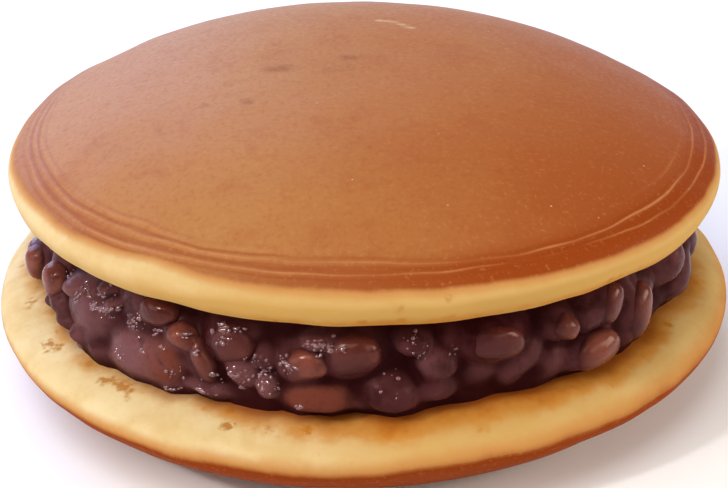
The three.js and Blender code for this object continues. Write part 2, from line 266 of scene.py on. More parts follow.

# At the front: bean, bean under a skin of paste or lump of paste, angle, height, length,
# width, tilt, how far it stands out, and how light it is, which on the paste is partly painted sheen
FRONT = (
    ("bean", -167, 15.6, 4.8, 3.8, 78, 2.4, 1), ("bean", -153, 18, 5.2, 4.4, 70, 2.1, 0.9),
    ("lump", -156, 13.8, 3.6, 2.8, 80, 1.6, 0.4), ("lump", -151.5, 15.6, 3.6, 4.4, 80, 1.8, 0.5),
    ("lump", -149, 13.6, 4, 3.2, 0, 1.9, 0.4), ("lump", -142, 17.2, 10.2, 7.6, 16, 1.3, 0.8),
    ("lump", -145.5, 19.6, 4.8, 2.4, 15, 1.7, 0.9), ("lump", -144, 13.6, 3.6, 3, 0, 2, 0.8),
    ("lump", -137.5, 13.5, 4, 2.8, 0, 1.7, 0.5), ("lump", -136.5, 22, 2.8, 1.8, 10, 0.9, 0.6),
    ("lump", -135, 20.3, 3.2, 1.6, 25, 1.2, 0.9), ("lump", -129.5, 19.8, 3.6, 3, 40, 0.5, 0.3),
    ("bean", -125, 21.8, 5.6, 3.8, 15, 0.9, 0.1), ("lump", -128.5, 15.2, 9.4, 6.8, 18, 1.8, 1.5),
    ("covered", -123.6, 15.8, 6.4, 5.8, 50, 1.7, 1), ("bean", -119.5, 19.8, 4.8, 3, -20, 1.4, 0.6),
    ("bean", -116, 17.6, 6, 2.9, -66, 1.4, 0.4), ("bean", -110.8, 20.6, 5.2, 5, 20, 1.5, 0.1),
    ("lump", -122, 13.2, 3.2, 2.2, 5, 1.3, 0.8), ("lump", -115.5, 13.6, 6.8, 3.4, -5, 1.1, 0.6),
    ("lump", -109, 17.4, 4.6, 5, 30, 1.1, 0.7), ("lump", -104.8, 15.9, 2.9, 3.4, 0, 1.5, 0.8),
    ("lump", -105.5, 19.2, 2.6, 3, 40, 1, 0.4), ("lump", -97, 22, 3.8, 2.2, 10, 1, 0.5),
    ("bean", -98.7, 19.2, 5.5, 4, 18, 1.8, 0.7), ("covered", -97, 14.7, 7.2, 4.8, -8, 1.7, 0.2),
    ("bean", -91.4, 20.5, 6.4, 5, 14, 1.4, 0.2), ("lump", -85.5, 15, 6, 4.8, -30, 1.6, 0.15),
    ("lump", -82, 21.5, 4.2, 3, -15, 0.9, 0.2), ("lump", -78, 18.7, 5.4, 4.2, -40, 0.7, 0.6),
    ("lump", -78, 15, 5.8, 3.6, 5, 0.3, 0.3), ("bean", -68.3, 20.5, 7, 4.2, -10, 1.5, 0),
    ("lump", -71, 16.4, 5.6, 5, 30, -0.3, 0.35), ("lump", -63, 17, 7.4, 5, 30, 0, 0.35),
    ("lump", -57.5, 15.8, 5, 3.8, 20, 0, 0.4), ("bean", -55.6, 20.1, 4, 2.9, -28, 1.5, 0.5),
    ("bean", -48.6, 15.5, 7, 4.2, 6, 2, 0.7), ("lump", -50, 19.8, 4.6, 4, 60, 0.6, 0.4),
    ("bean", -45.5, 20.6, 5.2, 3.8, 72, 1.3, 0.3), ("bean", -38.3, 17.6, 7.2, 4.4, 80, 1.9, 0.6),
    ("lump", -25, 20, 5.6, 5, 40, 1.8, 0.5), ("lump", -20, 16.4, 6.4, 5.2, 60, 2, 0.4),
)
# Beans at the back: first and last angle, number, heights of their two rows, span of the
# shifts as a share of the step and in mm, span of the tilts, and sizes
BACK_START, BACK_END, BACK_BEANS = -14, 188, 22
BACK_ROWS = (20.4, 15.6)
BACK_SHIFT_ALONG, BACK_SHIFT_UP, BACK_TILTS = 0.6, 1.6, 160
# Sizes that are drawn, here and below, are the least value and the spread
BACK_LENGTH, BACK_WIDTH, BACK_PROUD = (5.4, 2.0), (3.8, 1.2), (1.2, 0.8)

# Small lumps all over the side of the paste, each a part of a turn on from the last
SMALL_LUMPS = 70
SMALL_LUMP_TURN = 0.6180339887
SMALL_HEIGHT, SMALL_LENGTH, SMALL_WIDTH = (12.5, 11.0), (3.6, 4.0), (3.0, 2.0)
SMALL_PROUD, SMALL_LIGHT = (-0.8, 1.2), (0.0, 0.6)
SMALL_DEPTH, SMALL_SOFT = 1.5, 1.1
# The collar of paste that holds a bean: shift aside in degrees and down in mm, how far it is
# sunk, more on a light bean, how much wider it is, how soft and how light, partly painted sheen
COLLAR_ASIDE, COLLAR_DOWN, COLLAR_SUNK = (0.4, 1.0), (0.1, 0.6), (0.3, 0.35)
COLLAR_SUNK_BY_LIGHT, COLLAR_WIDER, COLLAR_SOFT, COLLAR_LIGHT = 0.3, 0.9, 1.2, 0.4

# Beans: depth, fullness of the section, bend as a share of the width and where it turns,
# dents as depth, size and first seed, radius of the ball they are taken from, and fineness
BEAN_DEPTH = 4.0
BEAN_FULLNESS = 2.3
BEAN_BEND, BEAN_BEND_TURN = 0.10, 0.4
BEAN_DENTS = ((0.20, 9.0, 10), (0.05, 3.5, 40))
DENTED_BALL = 10
BEAN_RINGS, BEAN_SIDES = 24, 36
# The paste runs up a bean unevenly: height, size and seed. A bean is half as wet as a grain
BURIED_WAVES = (0.25, 2.2, 4.0)
BEAN_WET = 0.5

# Wet, grainy patches at the front: angle, height, radius, number of grains
GRAINY = (
    (-135.1, 22.2, 1, 16), (-137.5, 20, 1.4, 12), (-135.6, 19.3, 1.3, 20),
    (-129.2, 20, 1.6, 34), (-131.6, 15.6, 1.2, 12), (-127, 17.6, 1, 4),
    (-120.4, 15.4, 1.2, 10), (-114.3, 14.6, 1.4, 9), (-111.8, 22.2, 1.4, 22),
    (-109.3, 17.2, 1.5, 18), (-106.4, 18.6, 1.6, 24), (-104.4, 16.6, 1.2, 14),
    (-101.6, 19.6, 1.1, 12), (-96, 22.2, 1.3, 16), (-93, 21.8, 0.7, 4),
    (-86.2, 17.4, 1.5, 5), (-85, 15.6, 1, 2), (-82.3, 22.2, 1.1, 10),
    (-80.8, 20.8, 1.1, 8), (-76, 20.4, 1, 5), (-150, 20, 1.2, 6),
)
# Streaks of wet grains at the front: angle, height, length, width, tilt
GLINTS = (
    (-147.8, 20.1, 0.8, 0.6, 0), (-142.7, 19.8, 2.6, 0.8, 70), (-141, 20.4, 1.6, 0.6, -30),
    (-138.3, 19.3, 2.2, 0.7, 10), (-137.5, 21.2, 1.6, 0.9, 0), (-134, 20.4, 2, 0.7, 30),
    (-143, 12.6, 1.2, 0.7, 20), (-126.4, 17.2, 0.6, 0.4, 0), (-124.6, 19.6, 1.4, 0.6, 30),
    (-123, 18.3, 0.7, 0.4, 0), (-121.2, 13.2, 1.8, 0.6, 10), (-118, 20.9, 0.8, 0.5, 0),
    (-116.3, 19.2, 0.6, 0.5, 0), (-115.8, 14.1, 0.9, 0.4, 0), (-113.7, 16.5, 0.6, 0.5, 0),
    (-112, 23, 1.2, 0.6, 10), (-110.3, 17.1, 1.6, 1, 0), (-109.4, 15, 0.8, 0.6, 0),
    (-109.2, 22.9, 1.2, 0.5, 0), (-105.1, 17.4, 1.5, 1.1, -30), (-101.1, 19.7, 1.8, 0.5, -20),
    (-99.4, 14.4, 0.8, 0.5, 20), (-97.4, 22.3, 2.4, 0.8, 10), (-95, 21.8, 0.8, 0.6, 0),
)
# Grains in a streak: so many for each mm of its length, and so many more
GLINT_GRAINS, GLINT_MORE = 6, 2
# Grains: half size, shape as shares of it, and the power that makes most of them small
PATCH_GRAIN, PATCH_SHAPE = (0.10, 0.27), (1.0, 0.8, 0.65)
GLINT_GRAIN, GLINT_SHAPE = (0.12, 0.25), (1.5, 0.8, 0.55)
GRAIN_POWER = 2
# How far a grain is sunk as a share of its half height, how much it faces up, how near to a
# bean it lies on that bean, and fineness
GRAIN_SUNK, GRAIN_RISE, GRAIN_NEAR = 0.3, 0.8, 0.35
GRAIN_RINGS, GRAIN_SIDES = 6, 8

# Factors of the repeatable draws, and steps between the seeds of smooth noise
DRAW_BY_INDEX, DRAW_BY_SALT, DRAW_SCALE = 12.9898, 78.233, 43758.5453
SEED_STEP = (3.7, 1.3, 2.1)

Lump = namedtuple("Lump", "at up long wide tilt proud depth soft light brown")
PASTE_LOOKS = ("tone", "brown", "deep", "wet")
PasteSide = namedtuple("PasteSide", ("theta", "rho", "z", *PASTE_LOOKS))


def draw(index, salt):
    """A repeatable number from 0 to 1, different for each whole number and salt."""
    wave = math.sin(index * DRAW_BY_INDEX + salt * DRAW_BY_SALT) * DRAW_SCALE
    return wave - math.floor(wave)


def drawn(size, index, salt, power=1):
    """A drawn size, from its least value and its spread. A power brings most near the least."""
    least, spread = size
    return least + spread * draw(index, salt) ** power


def smoothstep(low, high, x):
    t = np.clip((x - low) / (high - low), 0, 1)
    return t * t * (3 - 2 * t)


def grown(growth, x):
    """A strength that grows from none at one place to full at another."""
    strength, start, full = growth
    return strength * smoothstep(start, full, x)


def by_angle(table, angle):
    """A value given at some angles in degrees, at every angle in radians."""
    at, value = zip(*table)
    return np.interp(np.degrees(angle), at, value, period=360)


def waves(points, size, seed):
    """Smooth noise from about -1 to 1 at points in mm, with features of that size."""
    offset = Vector([seed * step for step in SEED_STEP])
    return np.array([noise.noise(Vector(p) / size + offset) for p in points.tolist()])


def polar(rho, theta, z):
    """Points at radii, angles and heights."""
    return np.stack([rho * np.cos(theta), rho * np.sin(theta), z], -1).reshape(-1, 3)


def outline(angle, lobes):
    """Radius by angle, as a share of the mean radius."""
    total = np.ones_like(angle)
    for count, swell, peak in lobes:
        total = total + swell * np.cos(count * (angle - math.radians(peak)))
    return total


def crust_height(p, share):
    """Height of the crust over the rim, at a share of the radius."""
    domed = p["crust_depth"] * (1 - share ** p["crust_power"])
    near = np.maximum(0, FLAT_BLEND - np.abs(domed - p["flat_depth"]))
    return np.minimum(domed, p["flat_depth"]) - near**2 / (4 * FLAT_BLEND)


def pale_drop(p, rho):
    """Depth of the pale face under the rim, at a radius."""
    over = np.clip((rho - (p["radius"] - p["shoulder"])) / p["shoulder"], 0, 1)
    return RIM_DROP + (p["pale_depth"] - RIM_DROP) * np.sqrt(1 - over**SHOULDER_POWER)


def section(p):
    """Half section with the crust up and the rim at 0: radius, height and length along
    it from the widest circle, positive on the crust."""
    radius, shoulder = p["radius"], p["shoulder"]
    inner = np.linspace(0.0, 1.0, FACE_ROWS)[:-1] * (radius - shoulder)
    turn = np.linspace(0, math.pi / 2, SHOULDER_ROWS)[:-1]
    pale_rho = np.concatenate([inner, radius - shoulder + shoulder * np.sin(turn)])
    pale_z = -pale_drop(p, pale_rho)
    s = np.linspace(0, 1, ROLL_ROWS)
    edge_rho, edge_z = RIM_START * radius, float(crust_height(p, np.array(RIM_START)))
    roll_rho = (1 - s**2) * radius + s**2 * edge_rho
    roll_z = -((1 - s) ** 2) * RIM_DROP + 2 * s * (1 - s) * RIM_FULLNESS + s**2 * edge_z
    ridged = np.linspace(RIM_START, CLOSE_ROWS_END, RIDGE_ROWS)[1:]
    crown = np.linspace(CLOSE_ROWS_END, 0.0, CROWN_ROWS)[1:]
    share = np.concatenate([ridged, crown])
    rho = np.concatenate([pale_rho, roll_rho, share * radius])
    z = np.concatenate([pale_z, roll_z, crust_height(p, share)])
    along = np.concatenate([[0], np.cumsum(np.hypot(np.diff(rho), np.diff(z)))])
    return rho, z, along - along[len(pale_rho)]


def add_object(name, data):
    obj = bpy.data.objects.new(name, data)
    bpy.context.scene.collection.objects.link(obj)
    return obj


def mesh_object(name, points_mm, faces):
    mesh = bpy.data.meshes.new(name)
    mesh.from_pydata((points_mm * MM).tolist(), [], faces)
    mesh.validate()
    mesh.polygons.foreach_set("use_smooth", [True] * len(mesh.polygons))
    return add_object(name, mesh)


def turned_faces(rows, columns):
    """Faces of a grid whose first and last rows are single points on the axis."""
    faces = []
    last = 1 + (rows - 2) * columns
    for j in range(columns):
        k = (j + 1) % columns
        faces.append((0, 1 + k, 1 + j))
        base = 1 + (rows - 3) * columns
        faces.append((last, base + j, base + k))
    for i in range(rows - 3):
        a, b = 1 + i * columns, 1 + (i + 1) * columns
        for j in range(columns):
            k = (j + 1) % columns
            faces.append((a + j, a + k, b + k, b + j))
    return faces


def ring_relief(share, angle):
    """Height of the ridges in mm, and their tone: light on a ridge, dark beside it."""
    height = np.zeros_like(share)
    tone = np.zeros_like(share)
    for i, (line, strength) in enumerate(RIDGES):
        at = by_angle(line, angle)
        for swing, count, turn in RIDGE_WOBBLES:
            at = at + swing * np.sin(count * angle + turn * i)
        broken = 1.0
        for count, turn, start in RIDGE_BREAK_WAVES:
            broken = broken * np.sin(count * angle + turn * i + start)
        strong = by_angle(strength, angle) * (1 - RIDGE_BREAKS + RIDGE_BREAKS * broken)
        off = (share - at) / RIDGE_HALF
        ridge = np.exp(-(off**2))
        trough = np.exp(-(((np.abs(off) - TROUGH_PLACE) / TROUGH_HALF) ** 2))
        height += RIDGE_HEIGHT * strong * (ridge - TROUGH_DEPTH * trough)
        tone += strong * (ridge - TROUGH_TONE * trough)
    return height, tone


def pancake(p, crust_up):
    """Points in mm, faces, and at each point the length along the section, the ring tone
    and the share of the radius."""
    rho, z, along = section(p)
    angle = np.arange(SIDES) * (FULL_TURN / SIDES)
    ring_rho = np.repeat(rho[1:-1], SIDES)
    ring_z = np.repeat(z[1:-1], SIDES)
    ring_along = np.repeat(along[1:-1], SIDES)
    theta = np.tile(angle, len(rho) - 2)
    share = ring_rho / p["radius"]
    tone = np.zeros_like(share)
    if crust_up:
        on_crust = smoothstep(*RIDGES_ALONG, ring_along)
        relief, tone = ring_relief(share, theta)
        ring_z = ring_z + relief * on_crust
        tone = tone * on_crust
    side = 1 if crust_up else -1
    ring = polar(ring_rho * outline(theta, p["lobes"]), theta, side * ring_z)
    points = np.concatenate([[[0, 0, side * z[0]]], ring, [[0, 0, side * z[-1]]]])
    along = np.concatenate([along[:1], ring_along, along[-1:]])
    share = np.pad(share, 1)

    # The rim waves a little and no face is quite true, apart from the flat of the lower one
    free = np.ones(len(points))
    if not crust_up:
        start, full = FLAT_KEPT
        free = smoothstep(start - p["flat_depth"], full - p["flat_depth"], points[:, 2])
    to_rim = share**RIPPLE_POWER
    rippled = FACE_RIPPLE + RIM_RIPPLE * to_rim
    pale_side = grown(PALE_RIPPLE_ALONG, along) * to_rim
    points[:, 2] += RIM_WAVE * share**RIM_WAVE_POWER * waves(points, RIM_WAVE_SIZE, p["seed"]) * free
    points[:, 2] += rippled * waves(points, RIPPLE_SIZE, p["seed"] + 1) * free
    points[:, 2] += pale_side * waves(points, PALE_RIPPLE_SIZE, PALE_RIPPLE_SEED)

    faces = turned_faces(len(rho), SIDES)
    if not crust_up:
        faces = [tuple(reversed(face)) for face in faces]
    if crust_up:
        y, height = points[:, 1].copy(), points[:, 2].copy()
        points[:, 1] = y * math.cos(UPPER_LEAN) + height * math.sin(UPPER_LEAN) - UPPER_FORWARD
        points[:, 2] = height * math.cos(UPPER_LEAN) - y * math.sin(UPPER_LEAN)
    points[:, 2] += p["rim_height"]
    return points, faces, along, np.pad(tone, 1), share


def set_in_place():
    """Where the axis of the lower pancake stands in the shared frame, from its solid's box."""
    low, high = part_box("lower_pancake")
    angle = np.arange(SOLID_SIDES) * (FULL_TURN / SOLID_SIDES)
    reach = LOWER["radius"] * outline(angle, LOWER["lobes"])
    x, y = reach * np.cos(angle), reach * np.sin(angle)
    middle = np.array([(x.min() + x.max()) / 2, (y.min() + y.max()) / 2, 0])
    given = np.array([(low[0] + high[0]) / 2, (low[1] + high[1]) / 2, 0]) / MM
    return given - middle


SHIFT = set_in_place()


class Graph:
    """A material's nodes, with short calls for the kinds used here."""

    # Places of a colour mix node's two colours and result among its sockets
    MIX_FIRST, MIX_SECOND, MIX_RESULT = 6, 7, 2

    def __init__(self, name):
        self.material = bpy.data.materials.new(name)
        self.material.use_nodes = True
        self.tree = self.material.node_tree
        self.shader = self.tree.nodes["Principled BSDF"]
        self.place = self.node("ShaderNodeTexCoord")["Object"]

    def put(self, socket, value):
        if isinstance(value, bpy.types.NodeSocket):
            self.tree.links.new(value, socket)
        elif isinstance(value, tuple) and len(value) == 3 and socket.type == "RGBA":
            socket.default_value = (*value, 1)
        else:
            socket.default_value = value

    def node(self, kind, inputs=None, **settings):
        """The outputs of a new node with those inputs, by name or place, and settings."""
        made = self.tree.nodes.new(kind)
        for key, value in settings.items():
            setattr(made, key, value)
        for key, value in (inputs or {}).items():
            self.put(made.inputs[key], value)
        return made.outputs

    def shade(self, **inputs):
        for key, value in inputs.items():
            self.put(self.shader.inputs[key.replace("_", " ")], value)

    def attribute(self, name):
        return self.node("ShaderNodeAttribute", attribute_name=name)["Fac"]

    def noise(self, size_mm, detail, rough, warp=0.0):
        place = {"Vector": self.place, "Scale": 1 / (size_mm * MM)}
        look = {"Detail": detail, "Roughness": rough, "Distortion": warp}
        return self.node("ShaderNodeTexNoise", place | look)["Fac"]

    def cells(self, size_mm):
        """Distance from the nearest of many scattered points, in cell sizes."""
        place = {"Vector": self.place, "Scale": 1 / (size_mm * MM)}
        return self.node("ShaderNodeTexVoronoi", place)["Distance"]

    def math(self, operation, a, b):
        return self.node("ShaderNodeMath", {0: a, 1: b}, operation=operation)[0]

    def plus(self, a, b):
        return self.math("ADD", a, b)

    def times(self, a, b):
        return self.math("MULTIPLY", a, b)

    def about(self, value, scale):
        """A noise as a change to both sides of 0."""
        return self.times(self.math("SUBTRACT", value, 0.5), scale)

    def span(self, value, low, high, to_low=0.0, to_high=1.0):
        ends = {"From Min": low, "From Max": high, "To Min": to_low, "To Max": to_high}
        inputs = {"Value": value, **ends}
        return self.node("ShaderNodeMapRange", inputs, interpolation_type="SMOOTHSTEP")["Result"]

    def mix(self, share, a, b):
        inputs = {"Factor": share, self.MIX_FIRST: a, self.MIX_SECOND: b}
        return self.node("ShaderNodeMix", inputs, data_type="RGBA")[self.MIX_RESULT]

    def layers(self, colour, *layers):
        """Colours laid over one another: the share of each, and the colour."""
        for share, over in layers:
            colour = self.mix(share, colour, over)
        return colour

    def relief(self, *layers):
        """Fine relief: height, depth in mm and strength of each layer."""
        under = {}
        for height, depth_mm, strength in layers:
            inputs = {"Height": height, "Distance": depth_mm * MM, "Strength": strength}
            under = {"Normal": self.node("ShaderNodeBump", inputs | under)["Normal"]}
        return under["Normal"]


CARAMEL = (0.395, 0.158, 0.043)
CARAMEL_DEEP = (0.37, 0.127, 0.033)
CARAMEL_RED = (0.285, 0.061, 0.012)
CARAMEL_LIT = (0.405, 0.182, 0.056)
CRUST_DARK = (0.25, 0.040, 0.003)
CRUST_LIGHT = (0.53, 0.215, 0.072)
CREAM = (0.70, 0.56, 0.305)
PALE_CREAM = (0.75, 0.64, 0.39)
GOLDEN = (0.51, 0.290, 0.075)
EDGE_TAN = (0.49, 0.225, 0.062)
HONEY = (0.49, 0.175, 0.014)
TOAST = (0.37, 0.098, 0.006)
DARK_BY_PASTE = (0.23, 0.045, 0.006)
TAN_SPOT = (0.36, 0.13, 0.012)
MARK_BROWN = (0.24, 0.070, 0.010)
CRUMB_GLOW = (1.0, 0.5, 0.25)

PASTE_DARK = (0.026, 0.0040, 0.0044)
PASTE_MID = (0.058, 0.0125, 0.0138)
# Lighter paste on lumps and grains, partly painted sheen
PASTE_LIGHT_AND_SHEEN = (0.150, 0.0570, 0.0570)
BEAN_DARK = (0.056, 0.0100, 0.0088)
BEAN_MID = (0.105, 0.0215, 0.0150)
BEAN_LIGHT = (0.210, 0.0600, 0.0370)
COVERED_BEAN = (0.135, 0.0330, 0.0185)
WET_PASTE = (0.50, 0.28, 0.24)
WET_BEAN = (0.80, 0.52, 0.42)
WET_GRAIN = (1.0, 0.85, 0.86)
PASTE_COLOURS = (PASTE_DARK, PASTE_MID, PASTE_LIGHT_AND_SHEEN, PASTE_DARK)
BEAN_COLOURS = (BEAN_DARK, BEAN_MID, BEAN_LIGHT, PASTE_MID)


def crust_colour(g, middle, small, fine):
    """Browned crust, with its rings, specks, marks and scratch, painted light on its left, and
    ruddier to its right and front right, which is partly painted shade.
    """
    ring = g.attribute("ring")
    mark = g.attribute("mark")
    specks = g.times(g.span(g.cells(2.6), 0.06, 0.025), g.span(middle, 0.5, 0.58, 0.0, 0.6))
    smudged = g.span(g.plus(mark, g.times(mark, g.about(small, 3.0))), 0.05, 0.9)
    return g.layers(
        CARAMEL_DEEP,
        (g.span(g.noise(26, detail=2, rough=0.5), 0.36, 0.66), CARAMEL),
        # Painted light on the left of the crown
        (g.attribute("light"), CARAMEL_LIT),
        # Ruddier to the right and front right, partly painted shade
        (g.attribute("ruddy_and_shade"), CARAMEL_RED),
        (g.span(middle, 0.5, 0.75, 0.0, 0.25), CARAMEL_RED),
        (g.attribute("band"), CRUST_DARK),
        (g.span(ring, -0.05, -0.5, 0.0, 0.45), CRUST_DARK),
        (g.span(ring, 0.1, 0.9, 0.0, 0.7), CRUST_LIGHT),
        (g.span(small, 0.5, 0.75, 0.0, 0.2), CARAMEL_RED),
        (g.span(fine, 0.5, 0.72, 0.0, 0.3), CARAMEL_RED),
        (g.span(fine, 0.45, 0.25, 0.0, 0.3), CRUST_LIGHT),
        (specks, CREAM),
        (g.times(smudged, 0.8), MARK_BROWN),
        (g.attribute("scar"), CREAM),
    )


def pale_colour(g, middle, small, fine, patches):
    """Pale side, with its freckles, partly painted shade to the right and painted light at the
    far right of the lower face, and toasted and darkened beside the paste.
    """
    toast = g.attribute("toast")
    mark = g.attribute("mark")
    freckled = g.times(g.span(toast, 0.02, 0.3), g.span(middle, 0.48, 0.60))
    freckles = g.times(g.span(g.cells(1.9), 0.42, 0.18, 0.0, 0.55), freckled)
    spotted = g.plus(mark, g.times(mark, g.about(g.noise(0.8, detail=2, rough=0.5), 3.5)))
    toasted = g.span(toast, 0.0, 0.4)
    toasting = g.plus(toast, g.times(g.about(middle, 0.7), toasted))
    toasting = g.plus(toasting, g.times(g.about(small, 0.35), toasted))
    return g.layers(
        CREAM,
        (g.span(middle, 0.35, 0.7, 0.0, 0.4), GOLDEN),
        (g.span(patches, 0.5, 0.68, 0.0, 0.6), PALE_CREAM),
        # More golden to the right, partly painted shade; paler at the far right of the lower face,
        # painted light
        (g.attribute("golden_and_shade"), GOLDEN),
        (g.span(fine, 0.58, 0.72, 0.0, 0.2), GOLDEN),
        (freckles, TAN_SPOT),
        (g.span(spotted, 0.12, 0.75, 0.0, 0.85), TAN_SPOT),
        (g.span(toasting, 0.05, 0.55, 0.0, 0.75), HONEY),
        (g.span(toasting, 0.45, 1.1), TOAST),
        (g.attribute("dark_by_paste"), DARK_BY_PASTE),
    )


def pancake_material(name, specular):
    g = Graph(name)
    patches = g.noise(8, detail=2, rough=0.5)
    middle = g.noise(4.5, detail=3, rough=0.6)
    small = g.noise(1.6, detail=3, rough=0.6)
    fine = g.noise(0.6, detail=3, rough=0.65)
    grain = g.noise(0.22, detail=2, rough=0.6)

    # The browning fades out through a tan, ragged and speckled
    ragged = g.plus(g.attribute("edge"), g.about(patches, 1.6))
    ragged = g.plus(ragged, g.about(middle, 0.8))
    ragged = g.plus(ragged, g.about(fine, 0.25))
    browned = g.span(ragged, -0.35, 1.2)
    colour = g.layers(
        pale_colour(g, middle, small, fine, patches),
        (g.span(ragged, -2.2, 0.1), EDGE_TAN),
        (browned, crust_colour(g, middle, small, fine)),
    )
    rough = g.plus(g.span(fine, 0.3, 0.7, 0.42, 0.52), g.span(browned, 0.0, 1.0, 0.22, 0.0))
    relief = g.relief((grain, 0.03, 0.5), (fine, 0.06, 0.4), (middle, 0.15, 0.25))
    g.shade(Base_Color=colour, Roughness=rough, Normal=relief, Specular_IOR_Level=specular)
    g.shade(Subsurface_Weight=0.08, Subsurface_Scale=0.002, Subsurface_Radius=CRUMB_GLOW)
    return g.material


def paste_material(name, colours, clot_mm, smoothest, specular, tint):
    """Wet paste or bean, from its dark, middle, light and sunk colours. The sunk colour is painted
    shade on the paste and the paste's skin on a bean; the paste's light colour is partly painted sheen.
    """
    dark, mid, light, sunk = colours
    g = Graph(name)
    deep = g.attribute("deep")
    clots = g.noise(clot_mm, detail=3, rough=0.5, warp=0.4)
    fine = g.noise(0.5, detail=3, rough=0.65)
    grain = g.noise(0.16, detail=2, rough=0.6)
    colour = g.layers(
        dark,
        (g.span(clots, 0.35, 0.68), mid),
        # The lighter tone, which on the paste is partly painted sheen
        (g.times(g.attribute("tone"), g.span(clots, 0.15, 0.55)), light),
        (g.times(g.attribute("brown"), g.span(clots, 0.3, 0.6, 0.4, 0.9)), COVERED_BEAN),
        (g.span(fine, 0.5, 0.7, 0.0, 0.25), dark),
        # Painted shade on the paste, and the paste's skin where it runs up a bean
        (deep, sunk),
    )
    rough = g.span(fine, 0.35, 0.65, smoothest, smoothest + 0.1)
    rough = g.math("SUBTRACT", rough, g.times(g.attribute("wet"), 0.10))
    rough = g.plus(rough, g.times(deep, 0.35))
    relief = g.relief((grain, 0.02, 0.4), (fine, 0.06, 0.35))
    g.shade(Base_Color=colour, Roughness=rough, Normal=relief)
    g.shade(Specular_IOR_Level=specular, Specular_Tint=tint)
    return g.material


def back_beans():
    step = (BACK_END - BACK_START) / (BACK_BEANS - 1)
    for i in range(BACK_BEANS):
        yield (
            "bean",
            BACK_START + step * (i + BACK_SHIFT_ALONG * (draw(i, 1) - 0.5)),
            BACK_ROWS[i % 2] + BACK_SHIFT_UP * (draw(i, 2) - 0.5),
            drawn(BACK_LENGTH, i, 3),
            drawn(BACK_WIDTH, i, 4),
            BACK_TILTS * (draw(i, 5) - 0.5),
            drawn(BACK_PROUD, i, 6),
            draw(i, 7),
        )


ALL_LUMPS = [*FRONT, *back_beans()]


def face_heights(angle, rho):
    """Height of the two pale faces, at an angle and radius from the lower pancake's axis."""
    low = LOWER["rim_height"] + pale_drop(LOWER, rho / outline(angle, LOWER["lobes"]))
    x, y = rho * np.cos(angle), rho * np.sin(angle) + UPPER_FORWARD
    upper_angle, upper_rho = np.arctan2(y, x), np.hypot(x, y)
    drop = pale_drop(UPPER, upper_rho / outline(upper_angle, UPPER["lobes"]))
    high = UPPER["rim_height"] - drop - y * math.tan(UPPER_LEAN)
    return low, high


def blur(field, rows, columns):
    """Box mean over a grid that closes on itself along its columns."""
    for axis, width in ((1, columns), (0, rows)):
        pad = [(0, 0), (0, 0)]
        pad[axis] = (width, width)
        total = np.cumsum(np.pad(field, pad, mode="wrap" if axis else "edge"), axis=axis)
        size = field.shape[axis]
        upper = np.take(total, np.arange(2 * width, 2 * width + size), axis=axis)
        lower = np.take(total, np.arange(0, size), axis=axis)
        field = (upper - lower) / (2 * width)
    return field


def dome(reach):
    """Height of a lump at a share of its radius: round on top and straight further out."""
    top = np.sqrt(np.maximum(0, 1 - reach**2))
    return np.where(reach < LUMP_TURN, top, LUMP_TURN_HEIGHT - LUMP_SLOPE * (reach - LUMP_TURN))


def small_lumps():
    for i in range(SMALL_LUMPS):
        yield Lump(
            at=-180 + 360 * ((i * SMALL_LUMP_TURN) % 1.0),
            up=drawn(SMALL_HEIGHT, i, 21),
            long=drawn(SMALL_LENGTH, i, 22),
            wide=drawn(SMALL_WIDTH, i, 23),
            tilt=180 * draw(i, 24),
            proud=drawn(SMALL_PROUD, i, 25),
            depth=SMALL_DEPTH,
            soft=SMALL_SOFT,
            light=drawn(SMALL_LIGHT, i, 26),
            brown=0.0,
        )


def large_lumps():
    """Lumps of paste, beans under a skin of paste, and the collar that holds each bare bean."""
    for k, (kind, at, up, long, wide, tilt, proud, tone) in enumerate(ALL_LUMPS):
        brown = float(kind == "covered")
        lump = Lump(at, up, long, wide, tilt, proud, BEAN_DEPTH / 2, LUMP_SOFT, tone, brown)
        if kind == "bean":
            lump = lump._replace(
                at=at - drawn(COLLAR_ASIDE, k, 61),
                up=up - drawn(COLLAR_DOWN, k, 62),
                long=long + COLLAR_WIDER,
                wide=wide + COLLAR_WIDER,
                proud=proud - (drawn(COLLAR_SUNK, k, 63) + COLLAR_SUNK_BY_LIGHT * tone),
                soft=COLLAR_SOFT,
                light=COLLAR_LIGHT * tone,
            )
        yield lump


def share_of_lump(lump, theta, z):
    """Distance of places on the side from the middle of a lump, in its own half sizes."""
    turn = (np.degrees(theta) - lump.at + 180) % 360 - 180
    along, rise = np.radians(turn) * PASTE_RADIUS, z - lump.up
    lean = math.radians(lump.tilt)
    s = along * math.cos(lean) + rise * math.sin(lean)
    t = -along * math.sin(lean) + rise * math.cos(lean)
    return np.hypot(2 * s / lump.long, 2 * t / lump.wide)


